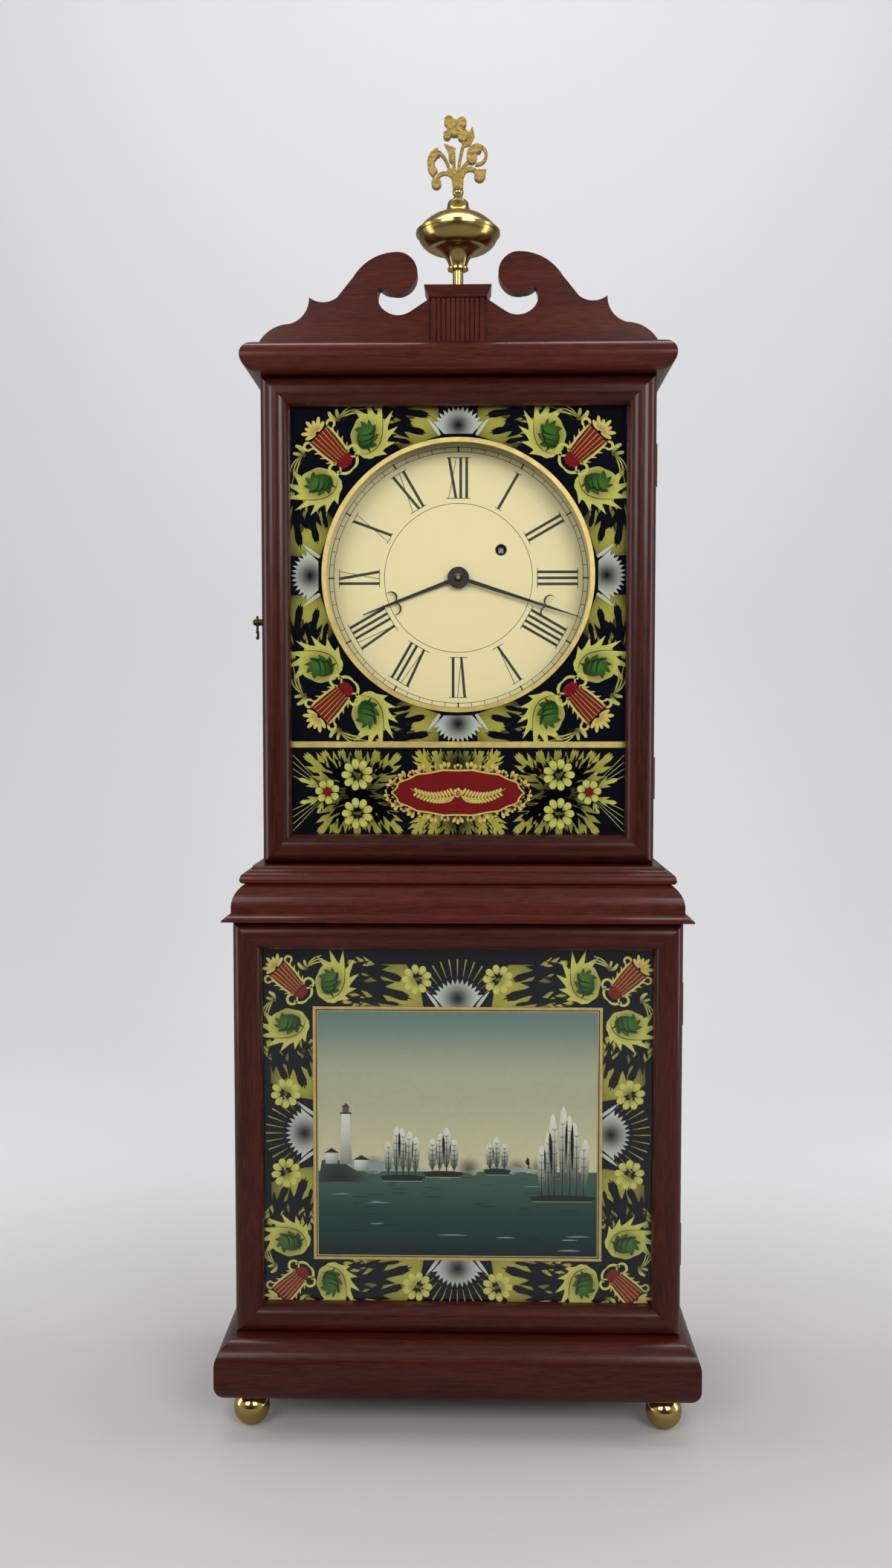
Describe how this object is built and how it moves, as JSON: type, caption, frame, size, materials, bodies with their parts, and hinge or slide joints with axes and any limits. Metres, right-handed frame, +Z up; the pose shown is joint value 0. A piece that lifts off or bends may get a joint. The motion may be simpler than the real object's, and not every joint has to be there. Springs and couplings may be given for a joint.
{
  "type": "shelf clock",
  "caption": "Tall two-stage wooden shelf clock with glazed doors, round painted dial, weight-driven movement, pendulum, scrolled pediment and brass finial.",
  "frame": {"origin": "middle of the footprint, at the height of the surface that the feet stand on", "axes": "+Z up, the dial and both doors face -Y, +X to the right seen from the front"},
  "size_m": [0.338, 0.166, 0.9144],
  "materials": {
    "mahogany": "polished",
    "pine": "raw",
    "brass": "polished",
    "steel": "satin",
    "black_steel": "satin",
    "dial_paint": "satin",
    "iron": "rough",
    "cord": "matte",
    "glass": "clear"
  },
  "bodies": {
    "case": {"ball_feet": "brass", "base_board": "mahogany", "base_blocks": "mahogany", "base_front_moulding": "mahogany", "base_side_mouldings": "mahogany", "lower_sides": "mahogany", "lower_backboard": "pine", "waist_frame": "mahogany", "waist_front_moulding": "mahogany", "waist_side_mouldings": "mahogany", "upper_sides": "mahogany", "upper_backboard": "pine", "top_board": "mahogany", "cornice_front": "mahogany", "cornice_sides": "mahogany", "scroll_boards": "mahogany", "finial_plinth": "mahogany", "plinth_cap": "mahogany", "finial_bowl": "brass", "finial_lid": "brass", "finial_spray": "brass", "case_hinges": "brass", "catch_pin": "brass", "dial": "dial_paint", "front_plate": "brass", "back_plate": "brass", "movement_pillars": "brass", "pendulum_bridge": "brass", "weight_cord": "cord"},
    "upper_door": {"upper_door_stiles": "mahogany", "upper_door_rails": "mahogany", "upper_door_glass": "glass", "upper_glass_beads": "mahogany", "upper_hinge_leaves": "brass", "hook_screw": "brass"},
    "lower_door": {"lower_door_stiles": "mahogany", "lower_door_rails": "mahogany", "lower_door_glass": "glass", "lower_glass_beads": "mahogany", "lower_hinge_leaves": "brass"},
    "latch": {"latch_hook": "brass"},
    "centre": {"centre_wheel": "brass", "cannon_pinion": "steel", "minute_hand": "black_steel", "hand_collet": "brass"},
    "great": {"great_wheel": "brass", "ratchet_click": "steel"},
    "drum": {"winding_drum": "steel"},
    "third": {"third_wheel": "brass"},
    "escape": {"escape_wheel": "brass"},
    "verge_body": {"verge": "steel"},
    "minute_body": {"minute_wheel": "brass"},
    "hour": {"hour_wheel": "brass", "hour_hand": "black_steel"},
    "pendulum": {"pendulum_rod": "brass", "pendulum_bob": "brass", "rating_nut": "brass"},
    "weight_body": {"weight": "iron"},
    "pulley": {"weight_pulley": "brass"}
  },
  "joints": [
    {"name": "upper_door_hinge", "type": "hinge", "parent": "case", "child": "upper_door", "pos_m": [0.1392, -0.02575, 0.5688], "axis": [0, 0, 1], "range_deg": [0, 120]},
    {"name": "lower_door_hinge", "type": "hinge", "parent": "case", "child": "lower_door", "pos_m": [0.1577, -0.04675, 0.2133], "axis": [0, 0, 1], "range_deg": [0, 120]},
    {"name": "hook_turn", "type": "hinge", "parent": "upper_door", "child": "latch", "pos_m": [-0.1427, -0.032, 0.569], "axis": [1, 0, 0], "range_deg": [-225, 0]},
    {"name": "centre_turn", "type": "hinge", "parent": "case", "child": "centre", "pos_m": [0, 0.03, 0.6019], "axis": [0, 1, 0], "continuous": true},
    {"name": "great_turn", "type": "hinge", "parent": "case", "child": "great", "pos_m": [0.0307, 0.016, 0.622], "axis": [0, 1, 0], "continuous": true},
    {"name": "third_turn", "type": "hinge", "parent": "case", "child": "third", "pos_m": [-0.017, 0.03, 0.6222], "axis": [0, 1, 0], "continuous": true},
    {"name": "escape_turn", "type": "hinge", "parent": "case", "child": "escape", "pos_m": [-0.008, 0.03, 0.6432], "axis": [0, 1, 0], "continuous": true},
    {"name": "minute_wheel_turn", "type": "hinge", "parent": "case", "child": "minute_body", "pos_m": [-0.01474, 0.004, 0.59158], "axis": [0, 1, 0], "continuous": true},
    {"name": "hour_turn", "type": "hinge", "parent": "case", "child": "hour", "pos_m": [0, 0, 0.6019], "axis": [0, 1, 0], "continuous": true},
    {"name": "drum_turn", "type": "hinge", "parent": "case", "child": "drum", "pos_m": [0.0307, 0.032, 0.622], "axis": [0, 1, 0], "range_deg": [0, 5762]},
    {"name": "weight_slide", "type": "slide", "parent": "case", "child": "weight_body", "axis": [0, 0, 1], "range_m": [0, 0.3645], "deforming": ["weight_cord"]},
    {"name": "pulley_turn", "type": "hinge", "parent": "weight_body", "child": "pulley", "pos_m": [0.03345, 0.032, 0.178], "axis": [0, 1, 0], "range_deg": [0, 2100]},
    {"name": "pendulum_swing", "type": "hinge", "parent": "case", "child": "pendulum", "pos_m": [0, -0.0025, 0.6659], "axis": [0, 1, 0], "range_deg": [-4, 4]},
    {"name": "verge_rock", "type": "hinge", "parent": "case", "child": "verge_body", "pos_m": [0, 0.03, 0.6659], "axis": [0, 1, 0], "range_deg": [-4, 4]}
  ],
  "couplings": [
    {"joint": "great_turn", "follows": "centre_turn", "ratio": -0.083333},
    {"joint": "third_turn", "follows": "centre_turn", "ratio": -10},
    {"joint": "escape_turn", "follows": "centre_turn", "ratio": 93.75},
    {"joint": "minute_wheel_turn", "follows": "centre_turn", "ratio": -0.33333},
    {"joint": "hour_turn", "follows": "centre_turn", "ratio": 0.083333},
    {"joint": "drum_turn", "follows": "weight_slide", "rad_per_m": 275.86},
    {"joint": "pulley_turn", "follows": "weight_slide", "rad_per_m": 100},
    {"joint": "verge_rock", "follows": "pendulum_swing", "ratio": 1}
  ]
}
